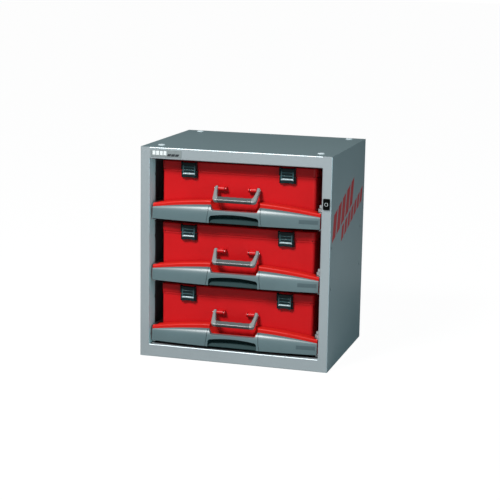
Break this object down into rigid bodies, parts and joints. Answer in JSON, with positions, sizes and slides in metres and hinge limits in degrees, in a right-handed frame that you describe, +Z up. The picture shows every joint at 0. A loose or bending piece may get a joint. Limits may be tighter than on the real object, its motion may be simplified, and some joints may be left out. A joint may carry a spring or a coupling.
{
  "type": "drawer cabinet with carrying cases",
  "caption": "Low sheet-steel racking cabinet with pull-out trays on telescopic runners, each with a bowed grey grip front and a red lidded carrying case, and a lock in the right stile.",
  "frame": {"origin": "centre of the cabinet's base, on the plane it stands on", "axes": "+X to the right of someone facing the front, +Y towards the back, +Z up; the drawers open along -Y"},
  "size_m": [0.508, 0.3953, 0.558],
  "materials": {
    "cabinet_paint": "satin powder coat",
    "zinc_steel": "zinc plated",
    "plug_plastic": "satin",
    "label_plate": "satin",
    "lock_black": "satin",
    "lock_metal": "polished",
    "black_plastic": "matt",
    "red_plastic": "satin, lightly textured",
    "grey_plastic": "satin",
    "dark_plastic": "satin",
    "pin_steel": "plain"
  },
  "bodies": {
    "cabinet": {"side_panel_left": "cabinet_paint", "side_panel_right": "cabinet_paint", "top_panel": "cabinet_paint", "bottom_panel": "cabinet_paint", "back_panel": "cabinet_paint", "rear_uprights": "zinc_steel", "top_plugs": "plug_plastic", "label_plate": "label_plate", "runner_outer_members": "zinc_steel", "runner_screws": "zinc_steel", "lock_housing": "lock_black", "locking_bar_guides": "black_plastic"},
    "lock_plug": {"lock_cylinder": "lock_metal", "lock_cam": "zinc_steel"},
    "locking_bar": {"locking_bar": "zinc_steel"},
    "drawer_1": {"tray_pan_1": "zinc_steel", "tray_front_1": "red_plastic", "bumper_right_1": "grey_plastic", "bumper_left_1": "grey_plastic", "grip_1": "grey_plastic", "runner_inner_1": "zinc_steel", "ball_cages_inner_1": "black_plastic", "case_shell_1": "red_plastic", "case_lid_1": "red_plastic", "case_pins_1": "pin_steel"},
    "runner_slide_1": {"runner_middle_1": "zinc_steel", "ball_cages_outer_1": "black_plastic"},
    "handle_1": {"handle_1": "grey_plastic"},
    "latch_right_1": {"latch_right_1": "dark_plastic"},
    "latch_left_1": {"latch_left_1": "dark_plastic"},
    "drawer_2": {"tray_pan_2": "zinc_steel", "tray_front_2": "red_plastic", "bumper_right_2": "grey_plastic", "bumper_left_2": "grey_plastic", "grip_2": "grey_plastic", "runner_inner_2": "zinc_steel", "ball_cages_inner_2": "black_plastic", "case_shell_2": "red_plastic", "case_lid_2": "red_plastic", "case_pins_2": "pin_steel"},
    "runner_slide_2": {"runner_middle_2": "zinc_steel", "ball_cages_outer_2": "black_plastic"},
    "handle_2": {"handle_2": "grey_plastic"},
    "latch_right_2": {"latch_right_2": "dark_plastic"},
    "latch_left_2": {"latch_left_2": "dark_plastic"},
    "drawer_3": {"tray_pan_3": "zinc_steel", "tray_front_3": "red_plastic", "bumper_right_3": "grey_plastic", "bumper_left_3": "grey_plastic", "grip_3": "grey_plastic", "runner_inner_3": "zinc_steel", "ball_cages_inner_3": "black_plastic", "case_shell_3": "red_plastic", "case_lid_3": "red_plastic", "case_pins_3": "pin_steel"},
    "runner_slide_3": {"runner_middle_3": "zinc_steel", "ball_cages_outer_3": "black_plastic"},
    "handle_3": {"handle_3": "grey_plastic"},
    "latch_right_3": {"latch_right_3": "dark_plastic"},
    "latch_left_3": {"latch_left_3": "dark_plastic"}
  },
  "joints": [
    {"name": "drawer_1_slide", "type": "slide", "parent": "cabinet", "child": "drawer_1", "axis": [0, -1, 0], "range_m": [0, 0.34]},
    {"name": "runner_1_slide", "type": "slide", "parent": "cabinet", "child": "runner_slide_1", "axis": [0, -1, 0], "range_m": [0, 0.17]},
    {"name": "handle_1_hinge", "type": "hinge", "parent": "drawer_1", "child": "handle_1", "pos_m": [0, -0.1655, 0.1275], "axis": [-1, 0, 0], "range_deg": [-25, 130]},
    {"name": "latch_right_1_hinge", "type": "hinge", "parent": "drawer_1", "child": "latch_right_1", "pos_m": [0.131, -0.1648, 0.1874], "axis": [-1, 0, 0], "range_deg": [0, 90]},
    {"name": "latch_left_1_hinge", "type": "hinge", "parent": "drawer_1", "child": "latch_left_1", "pos_m": [-0.131, -0.1648, 0.1874], "axis": [-1, 0, 0], "range_deg": [0, 90]},
    {"name": "drawer_2_slide", "type": "slide", "parent": "cabinet", "child": "drawer_2", "axis": [0, -1, 0], "range_m": [0, 0.34]},
    {"name": "runner_2_slide", "type": "slide", "parent": "cabinet", "child": "runner_slide_2", "axis": [0, -1, 0], "range_m": [0, 0.17]},
    {"name": "handle_2_hinge", "type": "hinge", "parent": "drawer_2", "child": "handle_2", "pos_m": [0, -0.1655, 0.291], "axis": [-1, 0, 0], "range_deg": [-25, 130]},
    {"name": "latch_right_2_hinge", "type": "hinge", "parent": "drawer_2", "child": "latch_right_2", "pos_m": [0.131, -0.1648, 0.3509], "axis": [-1, 0, 0], "range_deg": [0, 90]},
    {"name": "latch_left_2_hinge", "type": "hinge", "parent": "drawer_2", "child": "latch_left_2", "pos_m": [-0.131, -0.1648, 0.3509], "axis": [-1, 0, 0], "range_deg": [0, 90]},
    {"name": "drawer_3_slide", "type": "slide", "parent": "cabinet", "child": "drawer_3", "axis": [0, -1, 0], "range_m": [0, 0.34]},
    {"name": "runner_3_slide", "type": "slide", "parent": "cabinet", "child": "runner_slide_3", "axis": [0, -1, 0], "range_m": [0, 0.17]},
    {"name": "handle_3_hinge", "type": "hinge", "parent": "drawer_3", "child": "handle_3", "pos_m": [0, -0.1655, 0.4545], "axis": [-1, 0, 0], "range_deg": [-25, 130]},
    {"name": "latch_right_3_hinge", "type": "hinge", "parent": "drawer_3", "child": "latch_right_3", "pos_m": [0.131, -0.1648, 0.5144], "axis": [-1, 0, 0], "range_deg": [0, 90]},
    {"name": "latch_left_3_hinge", "type": "hinge", "parent": "drawer_3", "child": "latch_left_3", "pos_m": [-0.131, -0.1648, 0.5144], "axis": [-1, 0, 0], "range_deg": [0, 90]},
    {"name": "lock_turn", "type": "hinge", "parent": "cabinet", "child": "lock_plug", "pos_m": [0.24125, -0.195, 0.436], "axis": [0, -1, 0], "range_deg": [0, 90]},
    {"name": "locking_bar_slide", "type": "slide", "parent": "cabinet", "child": "locking_bar", "axis": [0, 0, 1], "range_m": [-0.0099, 0]}
  ],
  "couplings": [
    {"joint": "runner_1_slide", "follows": "drawer_1_slide", "ratio": 0.5},
    {"joint": "runner_2_slide", "follows": "drawer_2_slide", "ratio": 0.5},
    {"joint": "runner_3_slide", "follows": "drawer_3_slide", "ratio": 0.5},
    {"joint": "lock_turn", "follows": "locking_bar_slide", "rad_per_m": -158.67}
  ]
}
